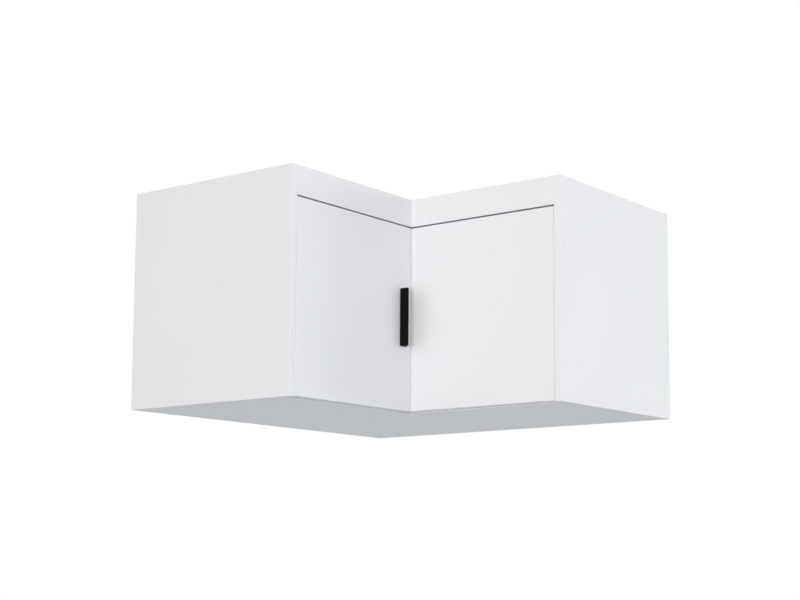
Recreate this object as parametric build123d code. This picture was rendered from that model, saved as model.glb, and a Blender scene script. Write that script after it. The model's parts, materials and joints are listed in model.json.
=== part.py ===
from build123d import *
import os
from math import hypot

# Corner wall cabinet. Two equal wings meet in the corner of a room, and a door closes each wing
# at the inner corner. Millimetres, +Z up. The origin is the middle of the underside. The walls
# are at X = -HALF and Y = +HALF, the left wing's front faces +X and the right wing's faces -Y.
#
# What both wings share is drawn once, in the wing frame: s runs from the end panel's inner face
# towards the inner corner, n runs outward from the front face, and z is up. place() takes it to
# the right wing as it is, and to the left wing as its mirror image.

# ---- driving dimensions ----
WIDTH = 800.0  # along each wall, from the room's corner
DEPTH = 430.0  # of a wing, from the wall to the front face
HEIGHT = 448.0
BOARD = 16.0  # coated particle board
BACK = 3.0  # hardboard back panels
BACK_SET = 16.0  # space between a back panel and the wall
GROOVE = 6.0  # how deep the back panels sit in the boards
FASCIA = 58.0  # height of the fixed band over the doors
FASCIA_GAP = 3.0  # between the fascia and the doors
DOOR_LIFT = 2.0  # the doors end this far above the underside
CORNER_GAP = 1.5  # from the left door's free edge to the right door's face
CORNER_LAP = 6.0  # the right door runs this far behind the left door's face
DOOR_EDGE = 0.8  # bevel of the doors' edge banding
BOARD_EDGE = 0.5  # bevel of the end panels' front edge banding

SHELF_SET = 40.0  # shelf front, behind the fronts' face
SHELF_PLAY = 1.6  # shelf end to end panel
PIN_PITCH = 32.0
PIN_ROWS = 3
PIN_RADIUS = 2.5
PIN_OUT = 9.0

HINGE_FROM_END = 96.0  # hinge centre, from the door's top or bottom edge
CUP_RADIUS = 17.5
CUP_EDGE = 3.0  # board left between the cup and the door's edge
CUP_SKIN = 2.5  # board left in front of the cup
SHELL = 0.6  # sheet of the cup
FLANGE = 1.0  # sheet of the cup's flange
FLANGE_RIM = 1.5  # flange beyond the cup
CUP_SCREWS = 48.0  # between the two screws of a cup
CUP_SCREW_SET = 6.0  # screws, from the cup's centre away from the door's edge
AXIS_INSET = 11.0  # hinge axis, from the door's edge
SWING_PLAY = 0.2  # between the door's turning edge and the end panel
HOOK_PLAY = 0.5  # between the door's turning edge and the hook of the arm
PIVOT_RADIUS = 1.0
EYE_RADIUS = 1.8
ARM = 2.2  # strip of the hinge arm
ARM_HALF = 5.0  # half the arm's width in the cup
LEG_HALF = 7.0  # half the arm's width on its plate
LUG = 2.0  # thickness of the two lugs in the cup that hold the pivot
LUG_HALF = 2.4
CUP_EAR = 13.0
EAR_CORNER = 3.25  # cut off the corners of the ears and wings
PLATE = 1.6
PLATE_RISE = 6.0  # top of the plate's rail above the end panel
PLATE_FRONT = 30.0
PLATE_LENGTH = 48.0
PLATE_SCREW_LINE = 37.0  # plate screws, behind the door's back
PLATE_SCREWS = 32.0  # between the two screws of a plate
PLATE_WING = 13.0
RAIL_STEP = 1.0  # the plate's base stands this far out round its rail
ARM_SCREW_SET = 10.0  # arm screws, from the plate's ends

HANDLE_LENGTH = 120.0
HANDLE_SCREWS = 96.0
HANDLE_FAR = 37.0  # far side of the blade, from the inner corner
BLADE = 5.0
BLADE_OUT = 19.3
FOOT = 4.0
FOOT_WIDTH = 19.0
BLADE_ROUND = 0.8
FOOT_ROUND = 2.0
BUMPER_RADIUS = 4.0
BUMPER_FROM_EDGE = 40.0

CAM_RADIUS = 7.5
CAM_DEPTH = 12.5
CAM_IN = 34.0  # cam centre, from the end panel
CAM_FROM_ENDS = 60.0  # cams, from the wing's front and from the wall
CAP_RADIUS = 9.0
CAP = 0.6
CAM_MOUTH = 6.8
CAM_SLOT = (10.0, 1.8, 2.0)
BOLT_RADIUS = 2.9  # of the cam bolt's head
BOLT_NECK = 2.0
BOLT_THREAD = 2.4
BOLT_DEPTH = 11.0  # in the end panel
BOLT_HEAD = 3.0  # length of the head
BOLT_HOLE = 4.0
DOWEL_RADIUS = 4.0
DOWEL_IN_PANEL = 10.0
DOWEL_LENGTH = 30.0

BRACKET = 2.0
BRACKET_LEG = 18.0
BRACKET_WIDTH = 20.0
BRACKET_FROM_ENDS = 80.0  # angle brackets, from both ends of a fascia

POST_WIDTH = 80.0
HANGER_WIDTH = 18.0
HANGER_DEPTH = 46.0
HANGER_HEIGHT = 60.0
HANGER_DROP = 10.0  # hanger top below the top board
HANGER_EDGE = 2.5
HANGER_CELL = 12.0  # how far the hook's space runs into the hanger
HANGER_SCREW_SET = 10.0  # screws, from the hanger's face
HANGER_SCREW_END = 8.0  # and from its top and bottom
WINDOW_RIM = 1.0  # the hanger covers this much round the opening in the back panel
WINDOW_DROP = 13.0  # and the opening reaches this far below the hook
HOOK = 3.5
HOOK_WIDTH = 10.0
HOOK_TIP = 8.0  # how far the hook hangs down behind the wall plate's lip
HOOK_DROP = 11.0  # underside of the hook, below the hanger's top
DRIVER_RADIUS = 4.0  # holes that reach the hanger's adjusting screws
DRIVER_DEPTH = 5.0
DRIVER_PITCH = 18.0
WALL_PLATE = 2.0
WALL_PLATE_WIDTH = 56.0
WALL_PLATE_DROP = 41.0  # below the hook
WALL_PLATE_LIP = 11.0
WALL_PLATE_STEP = 4.5  # the lip stands this far off the wall
WALL_PLATE_GAP = 3.0  # to the end panel
WALL_HOLES = 32.0  # between the two holes of a wall plate
WALL_HOLE_RADIUS = 3.5
WALL_HOLE_DROP = 27.0  # below the hook

FIT = 0.05  # radial clearance of a piece in its hole
PLAY = 0.3  # clearance of pieces that move past each other
# small round pieces and holes have flat sides: few on threads and dowels inside the boards,
# more on what is seen, most on the cups
HIDDEN_SIDES = 6
SEEN_SIDES = 10
CUP_SIDES = 20

# screws
HEAD_WIDE = 1.85  # radius of a head for each millimetre of the thread's radius
SLOT_WIDE = 0.5  # width of the driver slot, likewise
FINE_THREAD = 1.6
WOOD_THREAD = 1.75
MACHINE_THREAD = 2.0
COARSE_THREAD = 2.25
SHORT_BITE = 8.0  # how far the screws of the brackets go into the boards
LONG_BITE = 11.5  # and those of the cups, plates and hangers
SCREW_SKIN = 1.2  # left in front of the tips of the arm and handle screws

# ---- what follows from them ----
HALF = WIDTH / 2
FRONT = HALF - DEPTH  # Y of the right wing's face; the left wing's face is at X = -FRONT
INNER = WIDTH - DEPTH - BOARD  # s of the inner corner
TOP_Z = HEIGHT - BOARD
DOOR_TOP = HEIGHT - FASCIA - FASCIA_GAP
DOOR_MID = (DOOR_LIFT + DOOR_TOP) / 2
DOOR_END = {"left": INNER - CORNER_GAP, "right": INNER + CORNER_LAP}
HINGE_Z = {"lower": DOOR_LIFT + HINGE_FROM_END, "upper": DOOR_TOP - HINGE_FROM_END}

CUP_FLOOR = -CUP_SKIN - SHELL
AXIS_N = CUP_FLOOR - PLAY / 2 - EYE_RADIUS
# between a door and its end panel: what the door's front edge needs to swing past
SIDE_GAP = hypot(AXIS_INSET, -AXIS_N - DOOR_EDGE) - AXIS_INSET + SWING_PLAY
CUP_S = SIDE_GAP + CUP_EDGE + CUP_RADIUS
AXIS_S = SIDE_GAP + AXIS_INSET
# how far the door's bevelled back edge and the cup's flange reach from the hinge axis
EDGE_REACH = max(
    hypot(AXIS_INSET - DOOR_EDGE, BOARD + AXIS_N), hypot(AXIS_INSET, BOARD + AXIS_N - DOOR_EDGE)
)
RIM_REACH = hypot(CUP_S - CUP_RADIUS - FLANGE_RIM - AXIS_S, BOARD + FLANGE + AXIS_N)
HOOK_IN = max(EDGE_REACH, RIM_REACH) + HOOK_PLAY
HOOK_OUT = HOOK_IN + ARM
STOP_SET = -AXIS_N + EDGE_REACH + PLAY  # bottom board's front edge, behind the front face

BACK_N = -DEPTH + BACK_SET  # wall side of a back panel
BACK_FACE = BACK_N + BACK
BACK_END = {"left": WIDTH - BOARD - BACK_SET - BACK, "right": WIDTH - BOARD - BACK_SET}
POST_END = {"left": WIDTH - BOARD - BACK_SET, "right": WIDTH - BOARD}
POST_START = WIDTH - BOARD - POST_WIDTH

PIN_Z = (BOARD + TOP_Z) / 2 - BOARD / 2
SHELF_Z = PIN_Z + PIN_RADIUS
PIN_LINES = (-SHELF_SET - PIN_PITCH, BACK_FACE + 2 * PIN_PITCH)
POST_PIN_S = POST_START + 0.5 * (POST_WIDTH - BACK_SET)
CAM_LINES = (-CAM_FROM_ENDS, -DEPTH + CAM_FROM_ENDS)
DOWEL_LINE = -DEPTH / 2
BRACKET_LINES = (BRACKET_FROM_ENDS, INNER - BRACKET_FROM_ENDS)
PLATE_N = -BOARD - PLATE_SCREW_LINE
HANGER_TOP = TOP_Z - HANGER_DROP
HOOK_Z = HANGER_TOP - HOOK_DROP
HANDLE_S = INNER - HANDLE_FAR
HANDLE_SCREW_S = HANDLE_S + BLADE + (FOOT_WIDTH - BLADE) / 2

# each kind of screw: radius of its thread, and its length under the head
BRACKET_SCREW = (FINE_THREAD, BRACKET + SHORT_BITE)
HANGER_SCREW = (WOOD_THREAD, HANGER_WIDTH + LONG_BITE)
CUP_SCREW = (WOOD_THREAD, FLANGE + LONG_BITE)
PLATE_SCREW = (COARSE_THREAD, PLATE + LONG_BITE)
ARM_SCREW = (MACHINE_THREAD, ARM + PLATE_RISE - SCREW_SKIN)
HANDLE_SCREW = (MACHINE_THREAD, BOARD + FOOT - SCREW_SKIN)

SIDES = ("left", "right")
DIAGONAL = Plane(origin=(0, 0, 0), x_dir=(1, -1, 0), z_dir=(1, 1, 0))
ALONG_S, ALONG_N, ALONG_Z = (1, 0, 0), (0, 1, 0), (0, 0, 1)
INTO_PANEL, INTO_WALL = (-1, 0, 0), (0, -1, 0)
DOWN = (0, 0, -1)


# ---- helpers ----
def place(shape, side):
    """Take a shape from the wing frame to one of the wings."""
    right = Pos(HALF - BOARD, FRONT, 0) * Rot(0, 0, 180) * shape
    return right if side == "right" else right.mirror(DIAGONAL)


def both(shape):
    """The shape in both wings."""
    return [place(shape, side) for side in SIDES]


def block(s, n, z):
    """A box from its low and high ends along each axis."""
    size = [high - low for low, high in (s, n, z)]
    middle = [(high + low) / 2 for low, high in (s, n, z)]
    return Pos(*middle) * Box(*size)


def rod(radius, start, direction, length):
    """A truly round rod or hole that starts at a point."""
    return Plane(origin=start, z_dir=direction) * extrude(Circle(radius), length)


def shank(radius, start, direction, length, sides=HIDDEN_SIDES):
    """A rod or hole with flat sides that starts at a point."""
    return Plane(origin=start, z_dir=direction) * extrude(RegularPolygon(radius, sides), length)


def oblong(length, width, corner):
    """A rectangle with cut corners."""
    outline = Rectangle(length, width)
    return chamfer(outline.vertices(), corner)


def group(shapes):
    """Separate solids in one node."""
    return Compound(children=[solid for shape in shapes for solid in shape.solids()])


def screw(kind, seat, direction):
    """A slotted screw; its head lies on the seat and its thread runs in the direction.

    The head is as high as the thread's radius, and the slot is half as deep."""
    thread, length = kind
    head = HEAD_WIDE * thread
    blank = extrude(RegularPolygon(head, SEEN_SIDES), -thread)
    blank += extrude(RegularPolygon(thread, HIDDEN_SIDES), length)
    slot = Pos(0, 0, -thread) * Box(3 * head, SLOT_WIDE * thread, thread)
    return Plane(origin=seat, z_dir=direction) * (blank - slot)


def screw_hole(kind, seat, direction):
    """The hole of a screw in the pieces that it goes through."""
    thread, length = kind
    return shank(thread + FIT, seat, direction, length + FIT)


def screws(kind, seats):
    """Screws at several seats; a seat is a point and a direction."""
    return [screw(kind, *seat) for seat in seats]


def screw_holes(kind, seats):
    """The holes of these screws."""
    return [screw_hole(kind, *seat) for seat in seats]


# ---- carcass ----
def end_panel():
    """A side board over the full height and depth, its front edge flush with the door."""
    board = block((-BOARD, 0), (-DEPTH, 0), (0, HEIGHT))
    board = chamfer(board.faces().sort_by(Axis.Y)[-1].edges(), BOARD_EDGE)
    groove = block(
        (-GROOVE - PLAY, 0),
        (BACK_N - FIT, BACK_FACE + FIT),
        (BOARD - GROOVE - PLAY, TOP_Z + GROOVE + PLAY),
    )
    holes = [
        pin_hole((0, n, PIN_Z + (row - PIN_ROWS // 2) * PIN_PITCH), INTO_PANEL)
        for n in PIN_LINES
        for row in range(PIN_ROWS)
    ]
    for base in (0, TOP_Z):
        middle = base + BOARD / 2
        holes += [shank(BOLT_THREAD + FIT, (0, n, middle), INTO_PANEL, BOLT_DEPTH) for n in CAM_LINES]
        holes.append(dowel_hole(DOWEL_LINE, middle, "panel"))
    holes.append(dowel_hole(-BOARD / 2, HEIGHT - FASCIA / 2, "panel"))
    for z in HINGE_Z.values():
        holes += screw_holes(PLATE_SCREW, plate_seats(z))
    holes += screw_holes(HANGER_SCREW, hanger_seats())
    return board - ([groove] + holes)


def dowel(n, z):
    """A wooden dowel through an end panel's inner face."""
    return shank(DOWEL_RADIUS - FIT, (-DOWEL_IN_PANEL, n, z), ALONG_S, DOWEL_LENGTH)


def dowel_hole(n, z, end):
    """The half of a dowel's hole in the end panel or in the board that meets it."""
    direction, depth = {
        "panel": (INTO_PANEL, DOWEL_IN_PANEL),
        "board": (ALONG_S, DOWEL_LENGTH - DOWEL_IN_PANEL),
    }[end]
    return shank(DOWEL_RADIUS, (0, n, z), direction, depth + PLAY)


def corner_board(front_set, end_set, back_set, low):
    """An L-shaped board between the end panels, set back from the fronts, ends and walls."""
    end, back, front = HALF - BOARD - end_set, HALF - back_set, FRONT + front_set
    points = [
        (-back, back),
        (end, back),
        (end, front),
        (-front, front),
        (-front, -end),
        (-back, -end),
    ]
    outline = make_face(Polyline(*points, close=True))
    return Pos(0, 0, low) * extrude(outline, BOARD)


def wing_end_fittings(low):
    """Holes in a wing's end of the top or bottom board: cams, their bolts and the dowels."""
    middle = low + BOARD / 2
    holes = []
    for n in CAM_LINES:
        holes.append(shank(CAM_RADIUS, (CAM_IN, n, low + BOARD), DOWN, CAM_DEPTH, SEEN_SIDES))
        holes.append(shank(BOLT_HOLE, (0, n, middle), ALONG_S, CAM_IN - CAM_RADIUS / 2))
    return holes + [dowel_hole(DOWEL_LINE, middle, "board")]


def level_board(front_set, low, groove_z):
    """The top or bottom board, with its fittings and the grooves of both back panels."""
    board = corner_board(front_set, 0, 0, low)
    groove = block((0, BACK_END["right"] + FIT), (BACK_N - FIT, BACK_FACE + FIT), groove_z)
    tools = [groove] + wing_end_fittings(low)
    return board - [shape for tool in tools for shape in both(tool)]


def bottom_board():
    """The floor. The doors close over its front edge."""
    return level_board(STOP_SET, 0, (BOARD - GROOVE - PLAY, BOARD))


def top_board():
    """The roof. The fascia covers its front edge."""
    holes = screw_holes(BRACKET_SCREW, [bracket_seats(s)[0] for s in BRACKET_LINES])
    board = level_board(BOARD, TOP_Z, (TOP_Z, TOP_Z + GROOVE + PLAY))
    return board - [shape for hole in holes for shape in both(hole)]


def shelf():
    """The adjustable shelf, loose on its pins and short of the boards and backs around it."""
    return corner_board(SHELF_SET, SHELF_PLAY, DEPTH + BACK_FACE + SHELF_PLAY, SHELF_Z)


def back_panel(side):
    """A hardboard back in grooves, with the opening for its hanger's hook."""
    low, high = BOARD - GROOVE, TOP_Z + GROOVE
    sheet = block((-GROOVE, BACK_END[side]), (BACK_N, BACK_FACE), (low, high))
    window = block(
        (WINDOW_RIM, HANGER_WIDTH - WINDOW_RIM),
        (BACK_N, BACK_FACE),
        (HOOK_Z - WINDOW_DROP, HANGER_TOP - WINDOW_RIM),
    )
    return sheet - [window, pin_hole((POST_PIN_S, BACK_FACE, PIN_Z), INTO_WALL)]


def rear_post(side):
    """An upright strip behind the back panels in the room's corner."""
    strip = block((POST_START, POST_END[side]), (-DEPTH, BACK_N), (BOARD, TOP_Z))
    return strip - [pin_hole((POST_PIN_S, BACK_FACE, PIN_Z), INTO_WALL)]


def fascia(side):
    """The fixed band over a door. The right one runs behind the end of the left one."""
    end = INNER + (BOARD if side == "right" else 0)
    band = block((0, end), (-BOARD, 0), (HEIGHT - FASCIA, HEIGHT))
    holes = screw_holes(BRACKET_SCREW, [bracket_seats(s)[1] for s in BRACKET_LINES])
    holes.append(dowel_hole(-BOARD / 2, HEIGHT - FASCIA / 2, "board"))
    return band - holes


# ---- fittings of the carcass ----
def angle_bracket(s):
    """A bent steel angle in the corner between a fascia and the top board."""
    profile = Polyline(
        (-BOARD, TOP_Z),
        (-BOARD, TOP_Z - BRACKET_LEG),
        (-BOARD - BRACKET, TOP_Z - BRACKET_LEG),
        (-BOARD - BRACKET, TOP_Z - BRACKET),
        (-BOARD - BRACKET_LEG, TOP_Z - BRACKET),
        (-BOARD - BRACKET_LEG, TOP_Z),
        close=True,
    )
    half = BRACKET_WIDTH / 2
    angle = Plane(origin=(s - half, 0, 0), x_dir=ALONG_N, z_dir=ALONG_S) * extrude(
        make_face(profile), BRACKET_WIDTH
    )
    return angle - screw_holes(BRACKET_SCREW, bracket_seats(s))


def bracket_seats(s):
    """A bracket's two screws: one up into the top board and one forward into the fascia."""
    middle = BRACKET_LEG / 2
    up = ((s, -BOARD - middle, TOP_Z - BRACKET), ALONG_Z)
    forward = ((s, -BOARD - BRACKET, TOP_Z - middle), ALONG_N)
    return (up, forward)


def cam(n, low):
    """A cam housing in the board, open towards its bolt, with a driver slot on top."""
    top, middle = low + BOARD, low + BOARD / 2
    body = shank(CAM_RADIUS - FIT, (CAM_IN, n, top), DOWN, CAM_DEPTH - FIT, SEEN_SIDES)
    half = CAM_MOUTH / 2
    mouth = block((CAM_IN - CAM_RADIUS, CAM_IN), (n - half, n + half), (middle - half, middle + half))
    length, width, depth = CAM_SLOT
    slot = Pos(CAM_IN, n, top - depth / 2) * Box(length, width, depth)
    return body - [mouth, slot]


def cam_bolt(n, low):
    """A bolt that is screwed into the end panel; the cam hooks its head."""
    steps = [
        (BOLT_THREAD, FIT - BOLT_DEPTH, 0),
        (BOLT_NECK, 0, CAM_IN - BOLT_HEAD),
        (BOLT_RADIUS, CAM_IN - BOLT_HEAD, CAM_IN - FIT),
    ]
    z = low + BOARD / 2
    parts = [shank(radius, (start, n, z), ALONG_S, end - start) for radius, start, end in steps]
    return parts[0] + parts[1:]


def cam_cap(n):
    """A thin stick-on cap over a cam of the bottom board."""
    return shank(CAP_RADIUS, (CAM_IN, n, BOARD), ALONG_Z, CAP, SEEN_SIDES)


def shelf_pin(seat, direction):
    """A steel shelf pin that stands out of a board at its seat, half of it hidden."""
    start = Vector(*seat) - Vector(*direction) * (PIN_OUT - PLAY)
    return shank(PIN_RADIUS, start, direction, 2 * PIN_OUT - PLAY, SEEN_SIDES)


def pin_hole(seat, direction):
    """The hole of a shelf pin."""
    return shank(PIN_RADIUS + FIT, seat, direction, PIN_OUT, SEEN_SIDES)


# ---- wall hanging ----
def hanger_seats():
    """The two screws that hold a hanger on the end panel."""
    n = BACK_FACE + HANGER_DEPTH - HANGER_SCREW_SET
    rows = (HANGER_TOP - HANGER_SCREW_END, HANGER_TOP - HANGER_HEIGHT + HANGER_SCREW_END)
    return [((HANGER_WIDTH, n, z), INTO_PANEL) for z in rows]


def hook_bar(n, z):
    """One leg of the hook, over the hook's width in the middle of the hanger."""
    middle = HANGER_WIDTH / 2
    return block((middle - HOOK_WIDTH / 2, middle + HOOK_WIDTH / 2), n, z)


def hanger():
    """A hanger housing on the end panel, with two holes to its adjusting screws."""
    back, face = BACK_FACE, BACK_FACE + HANGER_DEPTH
    body = block((0, HANGER_WIDTH), (back, face), (HANGER_TOP - HANGER_HEIGHT, HANGER_TOP))
    body = chamfer(body.faces().sort_by(Axis.Y)[-1].edges(), HANGER_EDGE)
    rows = (HANGER_TOP - DRIVER_PITCH, HANGER_TOP - 2 * DRIVER_PITCH)
    holes = [
        shank(DRIVER_RADIUS, (HANGER_WIDTH / 2, face, z), INTO_WALL, DRIVER_DEPTH, SEEN_SIDES)
        for z in rows
    ]
    middle, half = HANGER_WIDTH / 2, HOOK_WIDTH / 2 + FIT
    cell = block(
        (middle - half, middle + half),
        (back, back + HANGER_CELL),
        (HOOK_Z - HOOK_TIP - PLAY, HOOK_Z + HOOK + FIT),
    )
    return body - (holes + [cell] + screw_holes(HANGER_SCREW, hanger_seats()))


def hanger_hook():
    """The steel hook that reaches through the back panel and over the wall plate's lip."""
    wall, end = -DEPTH + PLAY, BACK_FACE + HANGER_CELL - PLAY
    strap = hook_bar((wall, end), (HOOK_Z, HOOK_Z + HOOK))
    tip = hook_bar((wall, wall + HOOK), (HOOK_Z - HOOK_TIP, HOOK_Z))
    foot = hook_bar((end - HOOK, end), (HOOK_Z - HOOK_TIP, HOOK_Z))
    return strap + [tip, foot]


def wall_plate():
    """The bent plate that is screwed to the wall, with a lip standing off it for the hook."""
    wall, lip = -DEPTH, -DEPTH + WALL_PLATE_STEP
    bend = HOOK_Z - WALL_PLATE_LIP
    profile = Polyline(
        (wall, HOOK_Z - WALL_PLATE_DROP),
        (wall + WALL_PLATE, HOOK_Z - WALL_PLATE_DROP),
        (wall + WALL_PLATE, bend),
        (lip + WALL_PLATE, bend),
        (lip + WALL_PLATE, HOOK_Z),
        (lip, HOOK_Z),
        (lip, bend + WALL_PLATE),
        (wall, bend + WALL_PLATE),
        close=True,
    )
    side = Plane(origin=(WALL_PLATE_GAP, 0, 0), x_dir=ALONG_N, z_dir=ALONG_S)
    plate = side * extrude(make_face(profile), WALL_PLATE_WIDTH)
    middle = WALL_PLATE_GAP + WALL_PLATE_WIDTH / 2
    places = (middle - WALL_HOLES / 2, middle + WALL_HOLES / 2)
    z = HOOK_Z - WALL_HOLE_DROP
    return plate - [rod(WALL_HOLE_RADIUS, (s, wall, z), ALONG_N, WALL_PLATE) for s in places]


# ---- hinges ----
def hinge_cup(z):
    """A sheet cup in the door's back: shell, flange, and the two lugs that hold the pivot."""
    shell = cup_round(CUP_RADIUS - FIT, -BOARD, CUP_FLOOR + SHELL, z)
    ears = oblong(CUP_EAR, CUP_SCREWS + CUP_EAR, EAR_CORNER)
    flange = RegularPolygon(CUP_RADIUS + FLANGE_RIM, CUP_SIDES) + Pos(CUP_SCREW_SET, 0) * ears
    seat = Plane(origin=(CUP_S, -BOARD, z), x_dir=ALONG_S, z_dir=INTO_WALL)
    shell += seat * extrude(flange, FLANGE)
    cup = shell - [cup_round(CUP_RADIUS - FIT - SHELL, -BOARD - FLANGE, CUP_FLOOR, z)]
    low, high = ARM_HALF + PLAY, ARM_HALF + PLAY + LUG
    for lug in ((z - high, z - low), (z + low, z + high)):
        cup += block((AXIS_S - LUG_HALF, AXIS_S + LUG_HALF), (AXIS_N - LUG_HALF, CUP_FLOOR), lug)
    seat = shank(PIVOT_RADIUS + 2 * FIT, (AXIS_S, AXIS_N, z - high), ALONG_Z, 2 * high, SEEN_SIDES)
    return cup - ([seat] + screw_holes(CUP_SCREW, cup_seats(z)))


def cup_round(radius, start, end, z):
    """The round of a cup, from one depth of the door to another."""
    return shank(radius, (CUP_S, start, z), ALONG_N, end - start, CUP_SIDES)


def cup_seats(z):
    """The two screws of a cup."""
    rows = (z - CUP_SCREWS / 2, z + CUP_SCREWS / 2)
    return [((CUP_S + CUP_SCREW_SET, -BOARD - FLANGE, row), ALONG_N) for row in rows]


def hinge_pivot(z):
    """The pin that both lugs hold and the arm turns on."""
    span = ARM_HALF + PLAY + LUG
    return rod(PIVOT_RADIUS, (AXIS_S, AXIS_N, z - span), ALONG_Z, 2 * span)


def hinge_arm(z):
    """The swan-neck arm. Its hook goes round the strip of door between the cup and the edge."""
    eye = Pos(AXIS_S, AXIS_N) * RegularPolygon(EYE_RADIUS, SEEN_SIDES)
    spoke_end = HOOK_IN + ARM / 2
    spoke = Pos(AXIS_S + spoke_end / 2, AXIS_N) * Rectangle(spoke_end, ARM)
    ring = Pos(AXIS_S, AXIS_N) * (Circle(HOOK_OUT) - Circle(HOOK_IN))
    quarter = Pos(AXIS_S + HOOK_OUT / 2, AXIS_N - HOOK_OUT / 2) * Rectangle(HOOK_OUT, HOOK_OUT)
    heel = Pos(AXIS_S + HOOK_IN + ARM / 2, AXIS_N + ARM / 4) * Rectangle(ARM, ARM / 2)
    link_length = AXIS_S - PLATE_RISE
    link = Pos(PLATE_RISE + link_length / 2, AXIS_N - HOOK_IN - ARM / 2) * Rectangle(link_length, ARM)
    neck = eye + spoke + (ring & quarter) + heel + link
    arm = Pos(0, 0, z - ARM_HALF) * extrude(neck, 2 * ARM_HALF)
    leg_start, leg_end = AXIS_N - HOOK_IN, -PLATE_FRONT - PLATE_LENGTH
    arm += block((PLATE_RISE, PLATE_RISE + ARM), (leg_end, leg_start), (z - LEG_HALF, z + LEG_HALF))
    bore = rod(PIVOT_RADIUS + 2 * FIT, (AXIS_S, AXIS_N, z - ARM_HALF), ALONG_Z, 2 * ARM_HALF)
    return arm - ([bore] + screw_holes(ARM_SCREW, arm_seats(z)))


def arm_seats(z):
    """The fixing screw and the adjusting screw of an arm."""
    places = (-PLATE_FRONT - ARM_SCREW_SET, -PLATE_FRONT - PLATE_LENGTH + ARM_SCREW_SET)
    return [((PLATE_RISE + ARM, n, z), INTO_PANEL) for n in places]


def hinge_plate(z):
    """The wing plate on the end panel, with a raised rail for the arm."""
    middle = -PLATE_FRONT - PLATE_LENGTH / 2
    wings = Pos(PLATE_N, 0) * oblong(PLATE_WING, PLATE_SCREWS + PLATE_WING, EAR_CORNER)
    base = Pos(middle, 0) * Rectangle(PLATE_LENGTH, 2 * LEG_HALF) + wings
    seat = Plane(origin=(0, 0, z), x_dir=ALONG_N, z_dir=ALONG_S)
    plate = seat * extrude(base, PLATE)
    rail = Pos(middle, 0) * Rectangle(PLATE_LENGTH - 2 * RAIL_STEP, 2 * (LEG_HALF - RAIL_STEP))
    plate += seat * extrude(rail, PLATE_RISE)
    holes = screw_holes(ARM_SCREW, arm_seats(z)) + screw_holes(PLATE_SCREW, plate_seats(z))
    return plate - holes


def plate_seats(z):
    """The two screws of a plate."""
    rows = (z - PLATE_SCREWS / 2, z + PLATE_SCREWS / 2)
    return [((PLATE, PLATE_N, row), INTO_PANEL) for row in rows]


# ---- doors ----
def door_panel(side):
    """A door leaf: coated board with bevelled edge banding and the blind holes of its cups."""
    leaf = block((SIDE_GAP, DOOR_END[side]), (-BOARD, 0), (DOOR_LIFT, DOOR_TOP))
    rims = [face.edges() for face in leaf.faces().filter_by(Axis.Y)]
    leaf = chamfer(rims[0] + rims[1], DOOR_EDGE)
    holes = []
    for z in HINGE_Z.values():
        holes.append(cup_round(CUP_RADIUS, -BOARD, -CUP_SKIN, z))
        holes += screw_holes(CUP_SCREW, cup_seats(z))
    if side == "left":
        holes += screw_holes(HANDLE_SCREW, handle_seats())
    return leaf - holes


def handle_seats():
    """The two machine screws that go through the left door into the handle's foot."""
    rows = (DOOR_MID - HANDLE_SCREWS / 2, DOOR_MID + HANDLE_SCREWS / 2)
    return [((HANDLE_SCREW_S, -BOARD, z), ALONG_N) for z in rows]


def handle():
    """The upright pull: a plain blade that stands off the door on a foot."""
    low, high = DOOR_MID - HANDLE_LENGTH / 2, DOOR_MID + HANDLE_LENGTH / 2
    blade = block((HANDLE_S, HANDLE_S + BLADE), (0, BLADE_OUT), (low, high))
    foot = block((HANDLE_S, HANDLE_S + FOOT_WIDTH), (0, FOOT), (low, high))
    pull = blade + foot
    uprights = pull.edges().filter_by(Axis.Z)
    throat = uprights.sort_by_distance((HANDLE_S + BLADE, FOOT, DOOR_MID))[0]
    pull = fillet(throat, FOOT_ROUND)
    pull = fillet(pull.edges().group_by(Axis.Y)[-1], BLADE_ROUND)
    return pull - screw_holes(HANDLE_SCREW, handle_seats())


def bumpers(side):
    """Soft dots on the door's back that meet the bottom board's edge."""
    thick = STOP_SET - BOARD - PLAY
    places = (DOOR_END[side] - BUMPER_FROM_EDGE, DOOR_END[side] / 2)
    z = (DOOR_LIFT + BOARD) / 2
    return [shank(BUMPER_RADIUS, (s, -BOARD, z), INTO_WALL, thick, SEEN_SIDES) for s in places]


# ---- the pieces, each under its node's name ----
def root_nodes():
    """Everything that stays on the wall."""
    nodes = {
        "bottom_board": bottom_board(),
        "top_board": top_board(),
        "shelf": shelf(),
    }
    for side in SIDES:
        nodes[side + "_end_panel"] = place(end_panel(), side)
        nodes[side + "_back_panel"] = place(back_panel(side), side)
        nodes[side + "_rear_post"] = place(rear_post(side), side)
        nodes[side + "_fascia"] = place(fascia(side), side)
        nodes[side + "_hanger"] = place(hanger(), side)
        nodes[side + "_hanger_hook"] = place(hanger_hook(), side)
        nodes[side + "_wall_plate"] = place(wall_plate(), side)
        for level, z in HINGE_Z.items():
            nodes[f"{side}_{level}_hinge_arm"] = place(hinge_arm(z), side)
            nodes[f"{side}_{level}_hinge_plate"] = place(hinge_plate(z), side)
    return nodes


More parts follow.
